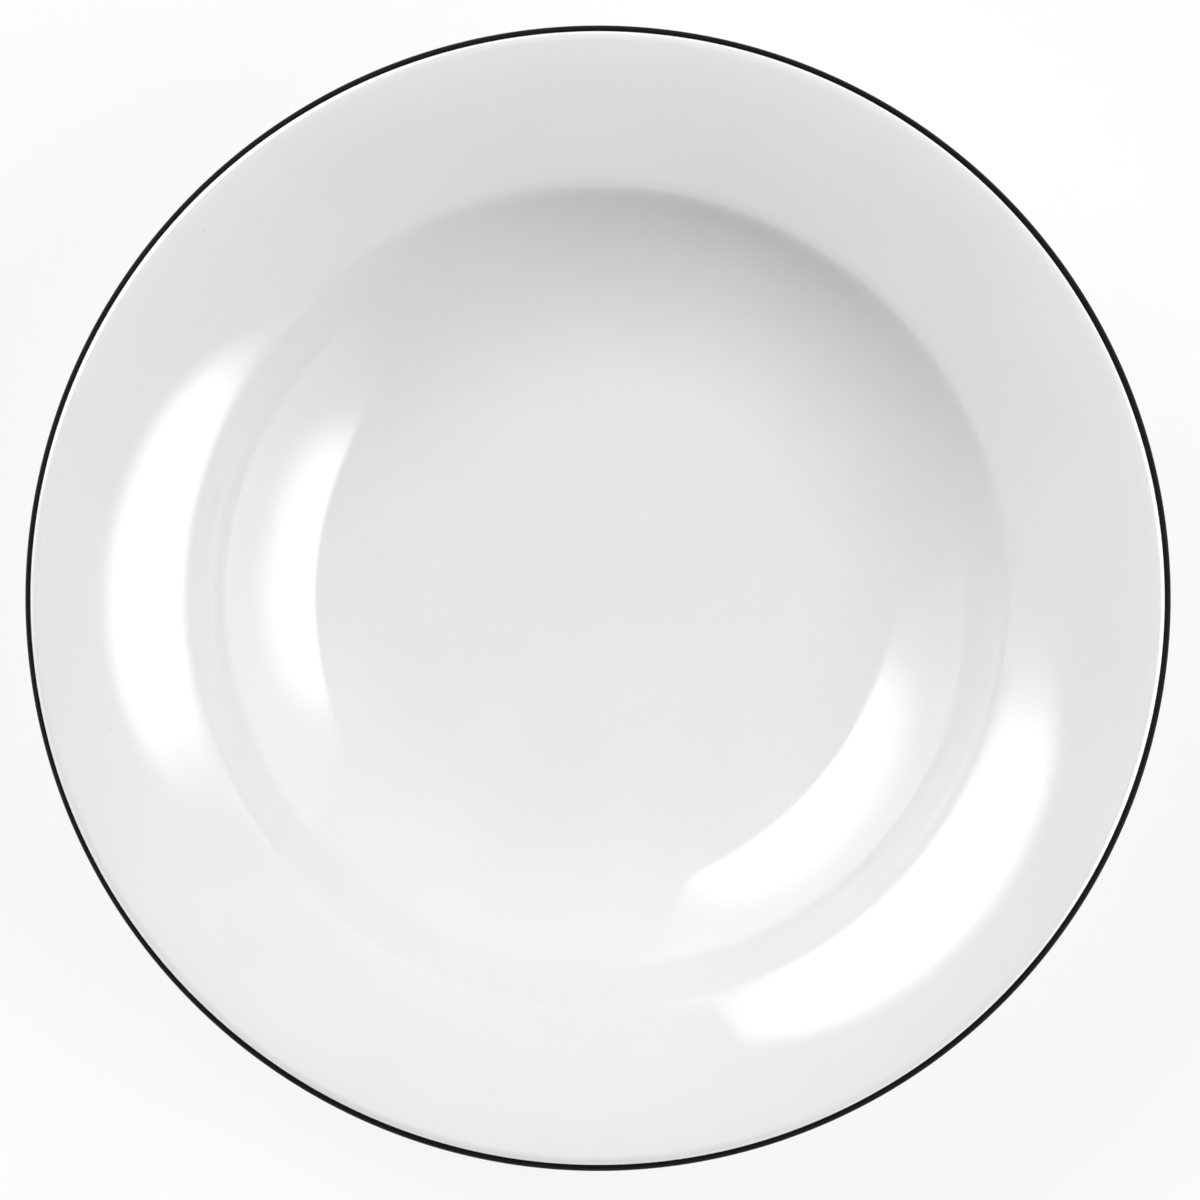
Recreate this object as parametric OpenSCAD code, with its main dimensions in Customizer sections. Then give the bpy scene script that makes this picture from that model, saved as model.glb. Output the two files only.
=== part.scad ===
// Pasta plate: a white porcelain rim plate with a deep coved well, a gently domed rim and a black line
// banded round its lip. Every piece is a turned section, and each section is a chain of tangent arcs.
// Slopes are in degrees from level and lengths in millimetres. The plate stands on its foot ring at z = 0.

/* [Plate] */
// Overall diameter
plate_d = 280; // [262:1:310]
// Thickness of the finished wall, from the cove to the lip
wall_t = 4.8; // [4.4:0.1:5.6]

/* [Well] */
// Diameter of the floor inside the cove
floor_d = 111.2; // [100:0.2:120]
// Radius of the floor's shallow dish
dish_r = 1100; // [900:50:3000]
// Thickness of the base at its centre
base_t = 5.2; // [4.4:0.1:7]
// Radius of the cove between the floor and the wall
cove_r = 56; // [51:0.5:62]
// Slope at the top of the cove, the steepest on the face
wall_slope = 55.5; // [50:0.5:60]

/* [Shoulder] */
// Radius of the shoulder's crest
shoulder_r = 6; // [5:0.1:9]
// Radius of the eases that lead the wall into the crest and the crest into the rim
ease_r = 18; // [12:0.5:24]
// Angle that each ease turns through
ease_angle = 9; // [5:0.5:11]
// Radius of the round behind the shoulder
under_shoulder_r = 9; // [8:0.1:11]

/* [Rim] */
// Slope of the rim where it leaves the shoulder
rim_slope = 24.1; // [22:0.1:26]
// Radius of the rim's long dome
rim_r = 250; // [200:5:350]
// Radius of the brow that eases the dome towards the lip
brow_r = 65; // [50:1:80]
// Slope of the brow where the lip begins
lip_slope = 9.5; // [7:0.1:12]
// Radius of the lip's upper round
lip_r = 3.3; // [2.6:0.1:3.8]

/* [Foot] */
// Outside diameter of the foot ring at its face
foot_d = 138; // [120:1:150]
// Width of the foot ring at its face
foot_w = 5.4; // [4:0.1:8]
// Height of the base above the foot ring's face
foot_h = 4.2; // [3:0.1:6]
// Lean of the foot ring's sides from upright
foot_draft = 12; // [4:1:20]
// Radius of the foot ring's lower edges
foot_edge_r = 0.9; // [0.4:0.1:1.4]
// Radius of the fillets at the foot ring's root
foot_root_r = 2; // [1:0.1:2.6]

/* [Glaze and line] */
// Thickness of the glaze
glaze_t = 0.3; // [0.15:0.05:0.45]
// Height of the bare band beside the foot ring's face
dry_h = 1.5; // [1.3:0.1:2]
// Width of the black line, seen from above
line_w = 1.5; // [0.8:0.05:2]
// Reach of the black line below the widest part of the lip, as an angle round the edge
line_wrap = 25; // [10:1:50]
// Thickness of the black line
line_t = 0.12; // [0.05:0.01:0.14]

/* [Hidden] */

// Farthest that an arc's straight steps may stand off the true curve
arc_tol = 0.01;
// Points closer than this are one point
same_point = 0.001;
// Steps round the axis
turn_steps = 240;
// Slopes at which the chain faces straight out and straight down
facing_out = -90;
facing_down = -180;

porcelain_white = [0.93, 0.92, 0.90];
glaze_white = [0.97, 0.97, 0.96];
line_black = [0.06, 0.06, 0.06];

// An arc is [centre, radius, slope at its start, slope at its end]. The radius is negative where the face
// is hollow. A point set into the wall by some depth lies that far down the face's normal.
function normal(slope) = [-sin(slope), cos(slope)];
function arc_point(arc, slope, depth) = arc[0] + (arc[1] - depth) * normal(slope);
function start_point(arc) = arc_point(arc, arc[2], 0);
function end_point(arc) = arc_point(arc, arc[3], 0);
function arc_from(point, radius, from, to) = [point - radius * normal(from), radius, from, to];
function next_arc(arc, radius, to) = arc_from(end_point(arc), radius, arc[3], to);
function cut_arc(arc, from, to) = [arc[0], arc[1], from, to];
function corner(point, slope) = [point, 0, slope, slope];
// The back of the wall under an arc of the face, followed the other way
function back_of(arc, from, to) = [arc[0], wall_t - arc[1], facing_down + from, facing_down + to];

function arc_steps(arc) = ceil(abs(arc[3] - arc[2]) / (2 * acos(1 - arc_tol / abs(arc[1]))));
function arc_path(arc, depth) =
    arc[2] == arc[3]
        ? [arc_point(arc, arc[2], depth)]
        : let (steps = arc_steps(arc))
          [for (i = [0 : steps]) arc_point(arc, arc[2] + (arc[3] - arc[2]) * i / steps, depth)];
function spaced(points) =
    [for (i = [0 : len(points) - 1]) if (i == 0 || norm(points[i] - points[i - 1]) > same_point) points[i]];
function path(chain, depth) = spaced([for (arc = chain) for (point = arc_path(arc, depth)) point]);
function backwards(points) = [for (i = [len(points) - 1 : -1 : 0]) points[i]];

// Face, from the axis to the widest part of the lip
floor_z = foot_h + base_t;
dish = arc_from([0, floor_z], -dish_r, 0, asin(floor_d / 2 / dish_r));
cove = next_arc(dish, -cove_r, wall_slope);
ease_in = next_arc(cove, ease_r, wall_slope - ease_angle);
shoulder = next_arc(ease_in, shoulder_r, rim_slope + ease_angle);
ease_out = next_arc(shoulder, ease_r, rim_slope);
rim_start_x = end_point(ease_out).x;
// The brow begins at the slope from which it and the lip just reach the plate's diameter
lip_share = lip_r + (lip_r - brow_r) * sin(lip_slope);
brow_slope = asin((rim_start_x - plate_d / 2 + rim_r * sin(rim_slope) + lip_share) / (rim_r - brow_r));
rim = next_arc(ease_out, rim_r, brow_slope);
brow = next_arc(rim, brow_r, lip_slope);
lip = next_arc(brow, lip_r, facing_out);

// Lower round of the lip, which meets the upper one at the widest part and the back of the brow
brow_back_r = brow_r - wall_t;
edge_reach = plate_d / 2 - brow[0].x;
edge_rise = lip[0].y - brow[0].y;
under_lip_r = (edge_reach ^ 2 + edge_rise ^ 2 - brow_back_r ^ 2) / (2 * (edge_reach + brow_back_r));
under_lip_centre = [plate_d / 2 - under_lip_r, lip[0].y];
to_under_lip = under_lip_centre - brow[0];
under_slope = atan2(-to_under_lip.x, to_under_lip.y);
under_lip = [under_lip_centre, under_lip_r, facing_out, facing_down + under_slope];

// Round behind the shoulder, which rolls between the backs of the cove and the rim
cove_span = cove_r + wall_t + under_shoulder_r;
rim_span = rim_r - wall_t - under_shoulder_r;
to_rim = rim[0] - cove[0];
apart = norm(to_rim);
along = (cove_span ^ 2 - rim_span ^ 2 + apart ^ 2) / (2 * apart);
aside = sqrt(cove_span ^ 2 - along ^ 2);
under_shoulder_centre = cove[0] + (along * to_rim + aside * [-to_rim.y, to_rim.x]) / apart;
cove_back_slope = atan2(under_shoulder_centre.x - cove[0].x, cove[0].y - under_shoulder_centre.y);
rim_back_slope = atan2(rim[0].x - under_shoulder_centre.x, under_shoulder_centre.y - rim[0].y);
under_shoulder = [
    under_shoulder_centre,
    -under_shoulder_r,
    facing_down + rim_back_slope,
    facing_down + cove_back_slope
];

// Foot ring, set out on its bare sides, which the glaze stands proud of above the dry band
foot_r = foot_d / 2;
foot_inner_r = foot_r - foot_w;
outer_side = facing_out - foot_draft;
inner_side = 3 * facing_out + foot_draft;
outer_reach = foot_r * cos(foot_draft) + glaze_t;
inner_reach = foot_inner_r * cos(foot_draft) - glaze_t;
// How far from the axis the glazed sides lie at a height, and with a clearance measured square to them
function outer_x(z, clear) = (outer_reach + clear + z * sin(foot_draft)) / cos(foot_draft);
function inner_x(z, clear) = (inner_reach - clear - z * sin(foot_draft)) / cos(foot_draft);

// The outer fillet rolls between the back of the cove and the ring's outer side
root_span = cove_r + wall_t + foot_root_r;
root_out = outer_reach + foot_root_r - cove[0] * normal(outer_side);
root_centre = cove[0] + root_out * normal(outer_side)
    - sqrt(root_span ^ 2 - root_out ^ 2) * [sin(foot_draft), cos(foot_draft)];
root_slope = atan2(root_centre.x - cove[0].x, cove[0].y - root_centre.y);
outer_root = [root_centre, -foot_root_r, facing_down + root_slope, outer_side];
inner_root_z = foot_h - foot_root_r;
inner_root = [[inner_x(inner_root_z, foot_root_r), inner_root_z], -foot_root_r, inner_side, facing_down];
edge_in = foot_edge_r + glaze_t;
outer_edge = [[outer_x(foot_edge_r, -edge_in), foot_edge_r], edge_in, outer_side, facing_down];
inner_edge = [[inner_x(foot_edge_r, -edge_in), foot_edge_r], edge_in, facing_down, inner_side];

back = [
    under_lip,
    back_of(brow, under_slope, brow_slope),
    back_of(rim, brow_slope, rim_back_slope),
    under_shoulder,
    back_of(cove, cove_back_slope, root_slope),
    outer_root
];
to_lip = [dish, cove, ease_in, shoulder, ease_out, rim, brow];
outer_stop = corner([outer_x(dry_h, 0), dry_h], outer_side);
inner_stop = corner([inner_x(dry_h, 0), dry_h], inner_side);
base_centre = corner([0, foot_h], facing_down);
coat_chain = concat(to_lip, [lip], back, [outer_stop]);
base_chain = [inner_stop, inner_root, base_centre];
foot_chain = [outer_edge, inner_edge];

// The black line lies round the lip from its inner edge, over the widest part, to a little below it
line_from = -asin(1 - line_w / lip_r);
line_to = facing_out - line_wrap;
line_chain = [cut_arc(lip, line_from, facing_out), cut_arc(under_lip, facing_out, line_to)];
above_line = concat(to_lip, [cut_arc(lip, lip_slope, line_from)]);
below_line = concat(
    [cut_arc(under_lip, line_to, facing_down + under_slope)],
    [for (i = [1 : len(back) - 1]) back[i]],
    [outer_stop]);

module turned(points) {
    rotate_extrude($fn = turn_steps) polygon(points);
}

// Fired body, bare on the foot ring
module porcelain_body() {
    color(porcelain_white)
        turned(path(concat(coat_chain, foot_chain, base_chain), glaze_t));
}

// Glaze over the face, the lip and the back, with a groove for the black line
module glaze_coat() {
    color(glaze_white)
        turned(concat(
            path(above_line, 0),
            path(line_chain, line_t),
            path(below_line, 0),
            backwards(path(coat_chain, glaze_t))));
}

// Disc of glaze inside the foot ring
module base_glaze() {
    color(glaze_white)
        turned(concat(path(base_chain, 0), backwards(path(base_chain, glaze_t))));
}

// Black line, flush with the glaze round it
module rim_line() {
    color(line_black)
        turned(concat(path(line_chain, 0), backwards(path(line_chain, line_t))));
}

porcelain_body();
glaze_coat();
base_glaze();
rim_line();
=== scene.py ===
"""Pasta plate: glazed white porcelain with a black line round its lip, seen from above."""
import math
from collections import namedtuple

import bpy
import numpy as np
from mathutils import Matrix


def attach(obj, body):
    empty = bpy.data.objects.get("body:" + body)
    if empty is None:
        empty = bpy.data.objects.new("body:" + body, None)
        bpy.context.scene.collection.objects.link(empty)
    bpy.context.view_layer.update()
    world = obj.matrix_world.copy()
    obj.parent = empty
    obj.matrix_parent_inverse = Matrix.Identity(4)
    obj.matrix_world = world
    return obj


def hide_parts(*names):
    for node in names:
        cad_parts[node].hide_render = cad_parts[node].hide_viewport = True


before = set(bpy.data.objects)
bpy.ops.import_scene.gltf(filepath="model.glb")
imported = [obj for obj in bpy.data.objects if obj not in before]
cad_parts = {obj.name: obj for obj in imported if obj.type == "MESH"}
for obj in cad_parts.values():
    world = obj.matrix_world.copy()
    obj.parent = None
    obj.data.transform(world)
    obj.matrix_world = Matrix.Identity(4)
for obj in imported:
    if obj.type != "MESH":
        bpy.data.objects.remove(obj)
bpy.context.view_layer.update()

MM = 0.001

# Sizes of the plate, the same as in the part's source
PLATE_R = 140 * MM
WALL_T = 4.8 * MM
FLOOR_R = 55.6 * MM
DISH_R = 1100 * MM
BASE_T = 5.2 * MM
COVE_R = 56 * MM
WALL_SLOPE = 55.5
EASE_R = 18 * MM
EASE_ANGLE = 9
SHOULDER_R = 6 * MM
UNDER_SHOULDER_R = 9 * MM
RIM_SLOPE = 24.1
RIM_R = 250 * MM
BROW_R = 65 * MM
LIP_SLOPE = 9.5
LIP_R = 3.3 * MM
FOOT_R = 69 * MM
FOOT_W = 5.4 * MM
FOOT_H = 4.2 * MM
FOOT_DRAFT = 12
FOOT_EDGE_R = 0.9 * MM
FOOT_ROOT_R = 2 * MM
GLAZE_T = 0.3 * MM
DRY_H = 1.5 * MM
LINE_W = 1.5 * MM
LINE_WRAP = 25
LINE_T = 0.12 * MM

# Hand banding of the black line: the colour spread a little, and its inner edge lies off centre and wavers.
# A waver is a count of waves round the plate, a height and a phase.
LINE_SPREAD = 0.156 * MM
LINE_OFF_CENTRE = 0.083 * MM
LINE_OFF_CENTRE_AZIMUTH = 25
LINE_WAVERS = [
    (2, 0.039 * MM, 184),
    (3, 0.05 * MM, 300),
    (4, 0.02 * MM, 142),
    (5, 0.034 * MM, 204),
    (9, 0.012 * MM, 120),
    (17, 0.006 * MM, 15),
]

# Glaze: its tone and how far that clouds, its gloss, its slow waviness and its fine skin. Scales of noise
# are per metre.
GLAZE_TONE = 0.81
GLAZE_CLOUD = 0.01
GLAZE_CLOUD_SCALE = 30
GLAZE_ROUGHNESS = (0.04, 0.06)
GLAZE_ROUGHNESS_SCALE = 45
GLAZE_IOR = 1.55
GLAZE_WAVE_SCALE = 55
GLAZE_WAVE_H = 0.006 * MM
GLAZE_SKIN_SCALE = 900
GLAZE_SKIN_H = 0.0006 * MM
# Painted highlight: a paler ring painted into the glaze beside the line, standing in for the lip's bright
# edge. Where it begins and is full, and what it adds to the tone
PAINTED_LIP_HIGHLIGHT_R = (137.45 * MM, 138.1 * MM)
PAINTED_LIP_HIGHLIGHT_TONE = 0.14
# Specks in the rim's glaze: azimuth, distance from the axis and radius, and what they take from the tone
SPECKS = [(137, 131.5 * MM, 0.75 * MM), (195, 123.6 * MM, 0.7 * MM)]
SPECK_TONE = 0.09

# Bare porcelain: its grain, and the rings and patches where it is rubbed. Scales of streaks are per radian
# along the rings and per metre across them.
PORCELAIN_CLEAN = (0.79, 0.775, 0.745)
PORCELAIN_RUBBED = (0.6, 0.585, 0.56)
PORCELAIN_ROUGHNESS = (0.6, 0.8)
GRAIN_SCALE = 2500
GRAIN_H = 0.02 * MM
RUB_STREAK_SCALES = (6, 1500)
RUB_PATCH_SCALE = 90
RUB_RANGE = (0.2, 0.36)

# Black line: its tones, and the streaks of the brush
BLACK_TONES = (0.002, 0.006)
BLACK_ROUGHNESS = (0.4, 0.6)
BLACK_SPECULAR = 0.04
BRUSH_STREAK_SCALES = (12, 3500)
BRUSH_RANGE = (0.3, 0.7)
BRUSH_H = 0.006 * MM

# Mesh steps: round the axis, along the line's arcs, and the longest step along an arc, as an angle and
# as a length
TURN_STEPS = 360
LINE_STEPS = 12
ARC_STEP_DEG = 3
ARC_STEP = 2.5 * MM
SAME_POINT = 1e-7

# Where the photograph has the plate: its radius and the middle of its lip in a square picture. Then how far
# the camera stands above the lip and beside the axis, and its sensor in millimetres.
PHOTO_PX = 1200
PLATE_PX = 572.8
PLATE_CENTRE_PX = (597.24, 597.78)
CAMERA_DISTANCE = 1.8
CAMERA_OFF_AXIS = (33.5 * MM, -18.8 * MM)
SENSOR_W = 36

# Two upright diffusion screens that stand on the floor and narrow upward, each with a lamp behind its
# upper part. The azimuth and the angle of the top edge from straight up are in degrees. In metres: how far
# the top edge reaches to its two sides, and the middle, half width and depth of the lamp's spot. Then how
# square the spot is, between which shares of its size it fades, and its radiance.
Screen = namedtuple("Screen", [
    "azimuth", "top_zenith", "reach_low", "reach_high",
    "spot_middle", "spot_half_w", "spot_depth", "spot_squareness", "spot_fade", "spot_radiance",
])
SCREENS = {
    "screen_right": Screen(0.3, 32.6, 1.84, 1.1, -0.29, 1.06, 1.95, 3, (0.55, 1.3), 6.25),
    "screen_upper_left": Screen(138.5, 33.65, 1.1, 1.55, -0.02, 1.0, 2.0, 2.4, (0.6, 1.4), 5.85),
}
# Both screens: their distance from the axis, how far an end leans out for each metre down, the fades at
# their edges, and the glow round the spot, which falls from one half width to the other
SCREEN_DISTANCE = 2.0
SCREEN_LEAN = 0.22
SCREEN_END_FADE = 0.05
SCREEN_TOP_FADE = 0.3
GLOW_HALF_W = (0.6, 1.8)
GLOW_RADIANCE = (1.1, 0.6)
# Level of the white world as a light
WORLD_LEVEL = 0.04

# Floor: its radius, sides and tone, and the share of its light that is its own where it is seen
STAGE_R = 8.0
STAGE_SIDES = 96
FLOOR_TONE = 0.93
FLOOR_GLOW = 0.82

# Slopes at which the section faces straight out and straight down
FACING_OUT = -90
FACING_DOWN = -180

# Section of the plate: a chain of tangent arcs, each with a centre, a radius that is negative where the
# face is hollow, and the slopes at its two ends
Arc = namedtuple("Arc", "centre radius start end")
# A smooth stretch of a section: its points and the face's normal at each
Stretch = namedtuple("Stretch", "points normals")


def normal(slope):
    angle = math.radians(slope)
    return np.array([-math.sin(angle), math.cos(angle)])


def arc_point(arc, slope, depth=0.0):
    return arc.centre + (arc.radius - depth) * normal(slope)


def arc_from(point, radius, start, end):
    return Arc(point - radius * normal(start), radius, start, end)


def next_arc(arc, radius, end):
    return arc_from(arc_point(arc, arc.end), radius, arc.end, end)


def cut_arc(arc, start, end):
    return Arc(arc.centre, arc.radius, start, end)


def corner(x, z, slope):
    return Arc(np.array([x, z]), 0.0, slope, slope)


def back_of(arc, start, end):
    return Arc(arc.centre, WALL_T - arc.radius, FACING_DOWN + start, FACING_DOWN + end)


def arc_slopes(arc, steps=None):
    """The slopes of an arc's points, in even steps."""
    turn = abs(arc.end - arc.start)
    if turn == 0:
        return [arc.start]
    length = math.radians(turn) * abs(arc.radius)
    steps = steps or math.ceil(max(turn / ARC_STEP_DEG, length / ARC_STEP))
    return np.linspace(arc.start, arc.end, steps + 1)


def stretch(chain, depth=0.0, steps=None):
    """One smooth stretch along a chain of tangent arcs, set into the wall by a depth."""
    points, normals = [], []
    for index, arc in enumerate(chain):
        slopes = arc_slopes(arc, steps)
        if index and np.allclose(arc_point(arc, slopes[0], depth), points[-1], atol=SAME_POINT):
            slopes = slopes[1:]
        for slope in slopes:
            points.append(arc_point(arc, slope, depth))
            normals.append(normal(slope))
    return Stretch(np.array(points), np.array(normals))


def reverse_side(run):
    """The same stretch walked the other way, facing into the wall."""
    return Stretch(run.points[::-1], -run.normals[::-1])


def joined(*runs):
    """One smooth stretch from several, each of which starts at the last point of the one before."""
    points = np.vstack([runs[0].points] + [run.points[1:] for run in runs[1:]])
    normals = np.vstack([runs[0].normals] + [run.normals[1:] for run in runs[1:]])
    return Stretch(points, normals)


def face_arcs():
    """The upper face from the axis to the widest part of the lip."""
    dish_end = math.degrees(math.asin(FLOOR_R / DISH_R))
    dish = arc_from(np.array([0.0, FOOT_H + BASE_T]), -DISH_R, 0, dish_end)
    cove = next_arc(dish, -COVE_R, WALL_SLOPE)
    ease_in = next_arc(cove, EASE_R, WALL_SLOPE - EASE_ANGLE)
    shoulder = next_arc(ease_in, SHOULDER_R, RIM_SLOPE + EASE_ANGLE)
    ease_out = next_arc(shoulder, EASE_R, RIM_SLOPE)
    rim_start = arc_point(ease_out, RIM_SLOPE)[0]
    lip_sine = math.sin(math.radians(LIP_SLOPE))
    rim_sine = math.sin(math.radians(RIM_SLOPE))
    reach = rim_start - PLATE_R + RIM_R * rim_sine - BROW_R * lip_sine + LIP_R * (1 + lip_sine)
    brow_slope = math.degrees(math.asin(reach / (RIM_R - BROW_R)))
    rim = next_arc(ease_out, RIM_R, brow_slope)
    brow = next_arc(rim, BROW_R, LIP_SLOPE)
    lip = next_arc(brow, LIP_R, FACING_OUT)
    return [dish, cove, ease_in, shoulder, ease_out, rim, brow, lip]


def under_lip_arc(brow, lip):
    """The lip's lower round, between its widest part and the back of the brow."""
    brow_back_r = BROW_R - WALL_T
    reach, rise = PLATE_R - brow.centre[0], lip.centre[1] - brow.centre[1]
    radius = (reach**2 + rise**2 - brow_back_r**2) / (2 * (reach + brow_back_r))
    centre = np.array([PLATE_R - radius, lip.centre[1]])
    across, up = centre - brow.centre
    return Arc(centre, radius, FACING_OUT, FACING_DOWN + math.degrees(math.atan2(-across, up)))


def under_shoulder_arc(cove, rim):
    """The round behind the shoulder, which rolls between the backs of the cove and the rim."""
    cove_span, rim_span = COVE_R + WALL_T + UNDER_SHOULDER_R, RIM_R - WALL_T - UNDER_SHOULDER_R
    apart = np.linalg.norm(rim.centre - cove.centre)
    toward = (rim.centre - cove.centre) / apart
    along = (cove_span**2 - rim_span**2 + apart**2) / (2 * apart)
    aside = math.sqrt(cove_span**2 - along**2)
    centre = cove.centre + along * toward + aside * np.array([-toward[1], toward[0]])
    rim_back = math.degrees(math.atan2(rim.centre[0] - centre[0], centre[1] - rim.centre[1]))
    cove_back = math.degrees(math.atan2(centre[0] - cove.centre[0], cove.centre[1] - centre[1]))
    return Arc(centre, -UNDER_SHOULDER_R, FACING_DOWN + rim_back, FACING_DOWN + cove_back)


def foot_arcs(cove):
    """The foot ring's fillets and edges, and the corners where the glaze stops on its two sides."""
    draft = math.radians(FOOT_DRAFT)
    outer_side, inner_side = FACING_OUT - FOOT_DRAFT, 3 * FACING_OUT + FOOT_DRAFT
    outer_reach = FOOT_R * math.cos(draft) + GLAZE_T
    inner_reach = (FOOT_R - FOOT_W) * math.cos(draft) - GLAZE_T

    def outer_x(z, clear):
        return (outer_reach + clear + z * math.sin(draft)) / math.cos(draft)

    def inner_x(z, clear):
        return (inner_reach - clear - z * math.sin(draft)) / math.cos(draft)

    span = COVE_R + WALL_T + FOOT_ROOT_R
    out = outer_reach + FOOT_ROOT_R - cove.centre @ normal(outer_side)
    down = np.array([math.sin(draft), math.cos(draft)]) * math.sqrt(span**2 - out**2)
    outer_root = cove.centre + out * normal(outer_side) - down
    across, up = outer_root - cove.centre
    root_slope = math.degrees(math.atan2(across, -up))
    root_z = FOOT_H - FOOT_ROOT_R
    inner_root = np.array([inner_x(root_z, FOOT_ROOT_R), root_z])
    edge_in = FOOT_EDGE_R + GLAZE_T
    outer_edge = np.array([outer_x(FOOT_EDGE_R, -edge_in), FOOT_EDGE_R])
    inner_edge = np.array([inner_x(FOOT_EDGE_R, -edge_in), FOOT_EDGE_R])
    return {
        "root_slope": root_slope,
        "outer_root": Arc(outer_root, -FOOT_ROOT_R, FACING_DOWN + root_slope, outer_side),
        "inner_root": Arc(inner_root, -FOOT_ROOT_R, inner_side, FACING_DOWN),
        "outer_edge": Arc(outer_edge, edge_in, outer_side, FACING_DOWN),
        "inner_edge": Arc(inner_edge, edge_in, FACING_DOWN, inner_side),
        "outer_stop": corner(outer_x(DRY_H, 0), DRY_H, outer_side),
        "inner_stop": corner(inner_x(DRY_H, 0), DRY_H, inner_side),
    }


*face_chain, lip = face_arcs()
_, cove, *_, rim, brow = face_chain
under_lip = under_lip_arc(brow, lip)
under_shoulder = under_shoulder_arc(cove, rim)
foot = foot_arcs(cove)
back_chain = [
    back_of(brow, under_lip.end - FACING_DOWN, brow.start),
    back_of(rim, rim.end, under_shoulder.start - FACING_DOWN),
    under_shoulder,
    back_of(cove, under_shoulder.end - FACING_DOWN, foot["root_slope"]),
    foot["outer_root"],
    foot["outer_stop"],
]
coat_chain = face_chain + [lip, under_lip] + back_chain
base_chain = [foot["inner_stop"], foot["inner_root"], corner(0.0, FOOT_H, FACING_DOWN)]
foot_chain = [foot["outer_edge"], foot["inner_edge"]]

body_run = stretch(coat_chain + foot_chain + base_chain, GLAZE_T)
coat_inside = reverse_side(stretch(coat_chain, GLAZE_T))
face_run = stretch(face_chain)
back_run = stretch(back_chain)
base_runs = [stretch(base_chain), reverse_side(stretch(base_chain, GLAZE_T))]


def line_slopes(azimuth):
    """Slopes on the lip where the black line starts and ends, at an azimuth in degrees."""
    width = LINE_W + LINE_SPREAD
    width += LINE_OFF_CENTRE * math.cos(math.radians(azimuth - LINE_OFF_CENTRE_AZIMUTH))
    for waves, height, phase in LINE_WAVERS:
        width += height * math.cos(math.radians(waves * azimuth + phase))
    return -math.degrees(math.asin(1 - width / LIP_R)), FACING_OUT - LINE_WRAP


def line_chain(azimuth):
    start, end = line_slopes(azimuth)
    return [cut_arc(lip, start, FACING_OUT), cut_arc(under_lip, FACING_OUT, end)]


def body_section(azimuth):
    return [body_run]


def base_section(azimuth):
    return base_runs


def coat_section(azimuth):
    start, end = line_slopes(azimuth)
    to_line = stretch([cut_arc(lip, LIP_SLOPE, start)], steps=LINE_STEPS)
    groove = stretch(line_chain(azimuth), LINE_T, steps=LINE_STEPS)
    from_line = stretch([cut_arc(under_lip, end, under_lip.end)], steps=LINE_STEPS)
    return [joined(face_run, to_line), groove, joined(from_line, back_run), coat_inside]


def line_section(azimuth):
    outside = stretch(line_chain(azimuth), steps=LINE_STEPS)
    inside = stretch(line_chain(azimuth), LINE_T, steps=LINE_STEPS)
    return [outside, reverse_side(inside)]


def turned(name, section, closed=False):
    """A mesh turned from a section, which may change with the azimuth, with the section's own normals.
    An open section starts and ends on the axis. A closed one goes round."""
    sections = [section(360 * step / TURN_STEPS) for step in range(TURN_STEPS)]
    run_of = [index for index, run in enumerate(sections[0]) for _ in run.points]
    flat = np.array([np.vstack([run.points for run in runs]) for runs in sections])
    facing = np.array([np.vstack([run.normals for run in runs]) for runs in sections])
    count = len(run_of)
    angles = np.radians(np.arange(TURN_STEPS) * 360 / TURN_STEPS)
    outward = np.column_stack([np.cos(angles), np.sin(angles)])

    def lifted(section_values):
        return np.concatenate([section_values[..., :1] * outward[:, None], section_values[..., 1:]], axis=2)

    on_axis = flat[0, :, 0] < SAME_POINT
    place = np.arange(TURN_STEPS * count).reshape(TURN_STEPS, count)
    place[:, on_axis] = place[0, on_axis]
    used, place = np.unique(place, return_inverse=True)
    place = place.reshape(TURN_STEPS, count)
    vertices = lifted(flat).reshape(-1, 3)[used]
    facing = lifted(facing)

    faces, corners = [], []
    for a in range(count if closed else count - 1):
        b = (a + 1) % count
        ends = [facing[:, a], facing[:, b]]
        if run_of[a] != run_of[b]:
            along = flat[:, b] - flat[:, a]
            square = np.stack([-along[:, 1], along[:, 0]], axis=1) / np.linalg.norm(along, axis=1)[:, None]
            ends = [lifted(square[:, None])[:, 0]] * 2
        ring = [place[:, a], place[:, b], np.roll(place[:, b], -1), np.roll(place[:, a], -1)]
        turn = [ends[0], ends[1], np.roll(ends[1], -1, axis=0), np.roll(ends[0], -1, axis=0)]
        # A face that touches the axis has three corners
        keep = [i for i in range(4) if not (on_axis[a] and i == 3 or on_axis[b] and i == 2)]
        faces += np.stack([ring[i] for i in keep], axis=1).tolist()
        corners += np.stack([turn[i] for i in keep], axis=1).reshape(-1, 3).tolist()
    mesh = bpy.data.meshes.new(name)
    mesh.from_pydata(vertices.tolist(), [], faces)
    mesh.shade_smooth()
    mesh.normals_split_custom_set(corners)
    piece = bpy.data.objects.new(name, mesh)
    bpy.context.scene.collection.objects.link(piece)
    return piece


def add_node(tree, kind, **inputs):
    """A node with some inputs set: to a value, or to another node's output socket."""
    node = tree.nodes.new(kind)
    for key, value in inputs.items():
        socket = node.inputs[key.replace("_", " ")]
        if isinstance(value, bpy.types.NodeSocket):
            tree.links.new(value, socket)
        else:
            socket.default_value = value
    return node


def math_node(tree, operation, first, second=0.0):
    node = tree.nodes.new("ShaderNodeMath")
    node.operation = operation
    for socket, value in zip(node.inputs, (first, second)):
        if isinstance(value, bpy.types.NodeSocket):
            tree.links.new(value, socket)
        else:
            socket.default_value = value
    return node.outputs[0]


def noise(tree, scale, detail=2.0, vector=None):
    """Noise over the piece, with a scale per metre."""
    vector = vector or tree.nodes.new("ShaderNodeTexCoord").outputs["Object"]
    return add_node(tree, "ShaderNodeTexNoise", Vector=vector, Scale=scale, Detail=detail).outputs[0]


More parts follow.
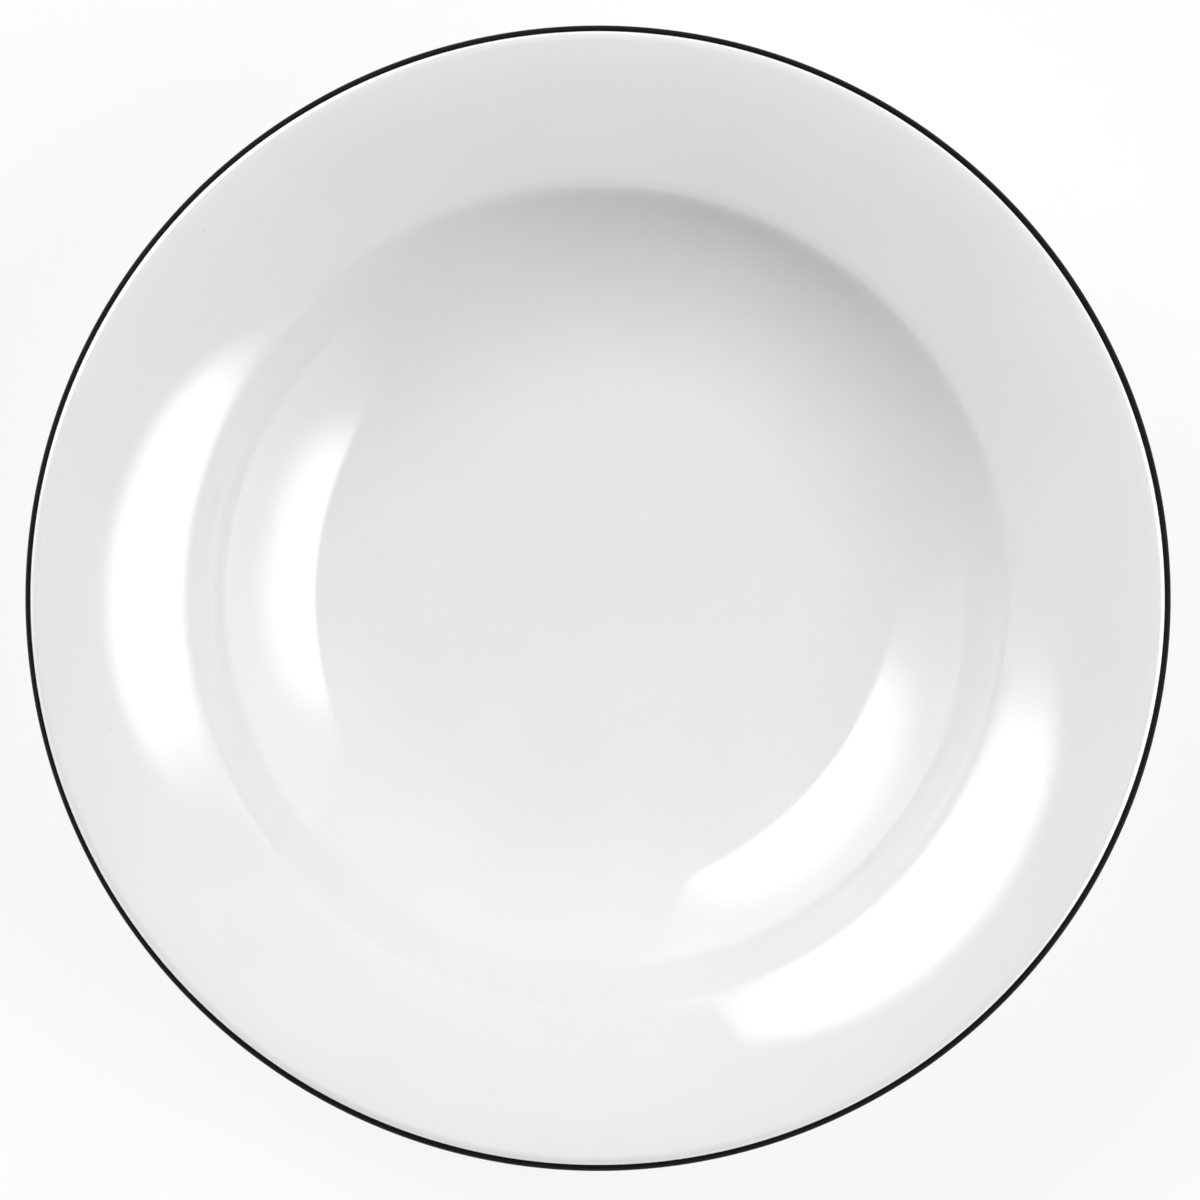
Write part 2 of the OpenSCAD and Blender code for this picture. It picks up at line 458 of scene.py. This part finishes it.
def spread(tree, value, low, high, start=0.3, end=0.7, smooth=False):
    """A value mapped to a range. Noise lies mostly between 0.3 and 0.7."""
    node = add_node(tree, "ShaderNodeMapRange", Value=value)
    node.interpolation_type = "SMOOTHSTEP" if smooth else "LINEAR"
    for key, number in (("From Min", start), ("From Max", end), ("To Min", low), ("To Max", high)):
        node.inputs[key].default_value = number
    return node.outputs[0]


def place_on_piece(tree):
    """The place on the piece as three sockets."""
    place = tree.nodes.new("ShaderNodeSeparateXYZ")
    tree.links.new(tree.nodes.new("ShaderNodeTexCoord").outputs["Object"], place.inputs[0])
    return place.outputs


def from_axis(tree):
    """The distance from the plate's axis."""
    squares = [math_node(tree, "POWER", socket, 2) for socket in place_on_piece(tree)[:2]]
    return math_node(tree, "SQRT", math_node(tree, "ADD", *squares))


def streaks(tree, along, across, detail):
    """Noise drawn out along circles round the axis, with a scale along them and one across."""
    x, y, z = place_on_piece(tree)
    radius = from_axis(tree)
    drawn_out = tree.nodes.new("ShaderNodeCombineXYZ")
    for socket, flat in zip(drawn_out.inputs, (x, y)):
        tree.links.new(math_node(tree, "MULTIPLY", math_node(tree, "DIVIDE", flat, radius), along), socket)
    outward = math_node(tree, "SUBTRACT", radius, z)
    tree.links.new(math_node(tree, "MULTIPLY", outward, across), drawn_out.inputs[2])
    return noise(tree, 1, detail, drawn_out.outputs[0])


def speck_marks(tree):
    """1 in the middle of a speck in the rim's glaze, fading to 0 outside it."""
    marks = 0
    for azimuth, radius, size in SPECKS:
        angle = math.radians(azimuth)
        height = np.interp(radius, *face_run.points.T)
        to_speck = tree.nodes.new("ShaderNodeVectorMath")
        to_speck.operation = "DISTANCE"
        tree.links.new(tree.nodes.new("ShaderNodeTexCoord").outputs["Object"], to_speck.inputs[0])
        to_speck.inputs[1].default_value = (radius * math.cos(angle), radius * math.sin(angle), height)
        mark = spread(tree, to_speck.outputs["Value"], 1, 0, 0, size, smooth=True)
        marks = math_node(tree, "MAXIMUM", marks, mark)
    return marks


def ramp(tree, value, positions, colours):
    """A colour that goes from one to another as a value goes from one position to the next."""
    node = tree.nodes.new("ShaderNodeValToRGB")
    for element, position, colour in zip(node.color_ramp.elements, positions, colours):
        element.position = position
        element.color = (*colour, 1)
    tree.links.new(value, node.inputs[0])
    return node.outputs[0]


def bump(tree, height, distance, under=None):
    node = add_node(tree, "ShaderNodeBump", Height=height, Strength=1.0, Distance=distance)
    if under:
        tree.links.new(under, node.inputs["Normal"])
    return node.outputs[0]


def new_material(name):
    """A material with its node tree and its shader."""
    material = bpy.data.materials.new(name)
    material.use_nodes = True
    return material, material.node_tree, material.node_tree.nodes["Principled BSDF"]


def feed(tree, shader, **inputs):
    for key, value in inputs.items():
        tree.links.new(value, shader.inputs[key.replace("_", " ")])


def white_glaze():
    """Gloss white glaze: even but for two specks, with a painted highlight as a paler ring beside the line,
    wavy and with a fine skin.
    """
    material, tree, shader = new_material("white_glaze")
    slow = bump(tree, noise(tree, GLAZE_WAVE_SCALE, detail=1), GLAZE_WAVE_H)
    clouds = noise(tree, GLAZE_CLOUD_SCALE)
    tone = spread(tree, clouds, GLAZE_TONE - GLAZE_CLOUD, GLAZE_TONE + GLAZE_CLOUD)
    # Painted highlight: a paler ring added to the tone beside the line, for the lip's bright edge
    painted_lip_highlight = spread(tree, from_axis(tree), 0, PAINTED_LIP_HIGHLIGHT_TONE, *PAINTED_LIP_HIGHLIGHT_R, smooth=True)
    specks = math_node(tree, "MULTIPLY", speck_marks(tree), SPECK_TONE)
    feed(
        tree, shader,
        Base_Color=math_node(tree, "SUBTRACT", math_node(tree, "ADD", tone, painted_lip_highlight), specks),
        Roughness=spread(tree, noise(tree, GLAZE_ROUGHNESS_SCALE, detail=3), *GLAZE_ROUGHNESS),
        Normal=bump(tree, noise(tree, GLAZE_SKIN_SCALE), GLAZE_SKIN_H, slow),
    )
    shader.inputs["IOR"].default_value = GLAZE_IOR
    return material


def bare_porcelain():
    """Dry fired porcelain: a faintly warm white with a fine grain, rubbed grey in rings by tables."""
    material, tree, shader = new_material("bare_porcelain")
    grain = noise(tree, GRAIN_SCALE, detail=4)
    patches = noise(tree, RUB_PATCH_SCALE, detail=4)
    rubbed = math_node(tree, "MULTIPLY", streaks(tree, *RUB_STREAK_SCALES, detail=3), patches)
    feed(
        tree, shader,
        Base_Color=ramp(tree, rubbed, RUB_RANGE, (PORCELAIN_CLEAN, PORCELAIN_RUBBED)),
        Roughness=spread(tree, grain, *PORCELAIN_ROUGHNESS),
        Normal=bump(tree, grain, GRAIN_H),
    )
    return material


def black_line_paint():
    """Satin black ceramic colour with the streaks of the brush along it."""
    material, tree, shader = new_material("black_line")
    brushed = streaks(tree, *BRUSH_STREAK_SCALES, detail=3)
    feed(
        tree, shader,
        Base_Color=ramp(tree, brushed, BRUSH_RANGE, [(tone,) * 3 for tone in BLACK_TONES]),
        Roughness=spread(tree, brushed, *BLACK_ROUGHNESS),
        Normal=bump(tree, brushed, BRUSH_H),
    )
    shader.inputs["Specular IOR Level"].default_value = BLACK_SPECULAR
    return material


def dress(piece, material, node):
    piece.data.materials.append(material)
    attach(piece, "root")
    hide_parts(node)


glaze = white_glaze()
dress(turned("plate_body", body_section), bare_porcelain(), "porcelain_body")
dress(turned("plate_glaze", coat_section), glaze, "glaze_coat")
dress(turned("plate_base_glaze", base_section), glaze, "base_glaze")
dress(turned("plate_rim_line", line_section, closed=True), black_line_paint(), "rim_line")


def seen_directly(tree):
    """1 for rays from the camera, mirror rays and rays through glass, else 0."""
    light = tree.nodes.new("ShaderNodeLightPath")
    mirrored, through = light.outputs["Is Glossy Ray"], light.outputs["Is Transmission Ray"]
    indirect = math_node(tree, "MAXIMUM", mirrored, through)
    return math_node(tree, "MAXIMUM", light.outputs["Is Camera Ray"], indirect)


def make_floor():
    """A plain pale floor. A share of its light is its own, so that it stays white and keeps the shadow."""
    bpy.ops.mesh.primitive_circle_add(vertices=STAGE_SIDES, radius=STAGE_R, fill_type="NGON")
    floor = bpy.context.object
    floor.name = "floor"
    material, tree, shader = new_material("pale_floor")
    shader.inputs["Base Color"].default_value = (FLOOR_TONE, FLOOR_TONE, FLOOR_TONE, 1)
    shader.inputs["Roughness"].default_value = 1.0
    shader.inputs["Specular IOR Level"].default_value = 0.0
    glow = add_node(tree, "ShaderNodeEmission", Strength=1.0)
    share = math_node(tree, "MULTIPLY", seen_directly(tree), FLOOR_GLOW)
    mix = add_node(tree, "ShaderNodeMixShader", Fac=share)
    tree.links.new(shader.outputs[0], mix.inputs[1])
    tree.links.new(glow.outputs[0], mix.inputs[2])
    tree.links.new(mix.outputs[0], tree.nodes["Material Output"].inputs["Surface"])
    floor.data.materials.append(material)


def make_world():
    """White where it is seen, and dim as a light."""
    world = bpy.data.worlds.new("studio")
    bpy.context.scene.world = world
    world.use_nodes = True
    tree = world.node_tree
    dim = tree.nodes["Background"]
    dim.inputs["Color"].default_value = (1, 1, 1, 1)
    dim.inputs["Strength"].default_value = WORLD_LEVEL
    white = add_node(tree, "ShaderNodeBackground", Color=(1, 1, 1, 1), Strength=1.0)
    mix = add_node(tree, "ShaderNodeMixShader", Fac=seen_directly(tree))
    tree.links.new(dim.outputs[0], mix.inputs[1])
    tree.links.new(white.outputs[0], mix.inputs[2])
    tree.links.new(mix.outputs[0], tree.nodes["World Output"].inputs["Surface"])


def make_screen(name, screen):
    """An upright screen that faces the plate, with a bright spot on a dim glow."""
    height = SCREEN_DISTANCE / math.tan(math.radians(screen.top_zenith))
    lean = SCREEN_LEAN * height
    width = screen.reach_low + screen.reach_high + 2 * lean
    lamp = bpy.data.lights.new(name, "AREA")
    lamp.shape = "RECTANGLE"
    lamp.size, lamp.size_y = width, height
    lamp.energy = math.pi * width * height
    lamp.use_nodes = True
    tree = lamp.node_tree
    place = add_node(tree, "ShaderNodeSeparateXYZ")
    tree.links.new(tree.nodes.new("ShaderNodeNewGeometry").outputs["Parametric"], place.inputs[0])
    down = math_node(tree, "MULTIPLY", math_node(tree, "SUBTRACT", 1, place.outputs[1]), height)
    wider = math_node(tree, "MULTIPLY", down, SCREEN_LEAN)
    from_corner = math_node(tree, "MULTIPLY", place.outputs[0], width)
    across = math_node(tree, "SUBTRACT", from_corner, screen.reach_low + lean)

    from_low = math_node(tree, "ADD", math_node(tree, "ADD", across, screen.reach_low), wider)
    from_high = math_node(tree, "SUBTRACT", math_node(tree, "ADD", wider, screen.reach_high), across)
    from_ends = spread(tree, math_node(tree, "MINIMUM", from_low, from_high), 0, 1, 0, SCREEN_END_FADE)
    from_edges = math_node(tree, "MULTIPLY", from_ends, spread(tree, down, 0, 1, 0, SCREEN_TOP_FADE))

    aside = math_node(tree, "ABSOLUTE", math_node(tree, "SUBTRACT", across, screen.spot_middle))
    square = screen.spot_squareness
    wide = math_node(tree, "POWER", math_node(tree, "DIVIDE", aside, screen.spot_half_w), square)
    deep = math_node(tree, "POWER", math_node(tree, "DIVIDE", down, screen.spot_depth), square)
    off_spot = math_node(tree, "POWER", math_node(tree, "ADD", wide, deep), 1 / square)
    spot = spread(tree, off_spot, screen.spot_radiance, 0, *screen.spot_fade, smooth=True)
    glow = spread(tree, aside, *GLOW_RADIANCE, *GLOW_HALF_W, smooth=True)
    light = math_node(tree, "MULTIPLY", math_node(tree, "ADD", spot, glow), from_edges)
    tree.links.new(light, tree.nodes["Emission"].inputs["Strength"])

    holder = bpy.data.objects.new(name, lamp)
    azimuth = math.radians(screen.azimuth)
    toward = np.array([math.cos(azimuth), math.sin(azimuth)])
    sideways = np.array([-math.sin(azimuth), math.cos(azimuth)])
    middle = SCREEN_DISTANCE * toward + (screen.reach_high - screen.reach_low) / 2 * sideways
    holder.location = (*middle, height / 2)
    holder.rotation_euler = (math.pi / 2, 0, azimuth + math.pi / 2)
    holder.visible_camera = False
    bpy.context.scene.collection.objects.link(holder)


def make_camera():
    """Above the plate, a little off its axis and turned to it, with the plate as the photograph has it."""
    across, along = CAMERA_OFF_AXIS
    distance = math.hypot(across, along, CAMERA_DISTANCE)
    camera = bpy.data.cameras.new("camera")
    camera.sensor_width = SENSOR_W
    camera.lens = SENSOR_W * distance / (PHOTO_PX * PLATE_R / PLATE_PX)
    camera.shift_x = (PHOTO_PX / 2 - PLATE_CENTRE_PX[0]) / PHOTO_PX
    camera.shift_y = (PLATE_CENTRE_PX[1] - PHOTO_PX / 2) / PHOTO_PX
    holder = bpy.data.objects.new("camera", camera)
    holder.location = (across, along, lip.centre[1] + CAMERA_DISTANCE)
    holder.rotation_euler = (-math.asin(along / distance), math.atan2(across, CAMERA_DISTANCE), 0)
    bpy.context.scene.collection.objects.link(holder)
    bpy.context.scene.camera = holder


make_floor()
make_world()
for screen_name, screen in SCREENS.items():
    make_screen(screen_name, screen)
make_camera()
bpy.context.scene.view_settings.view_transform = "Standard"
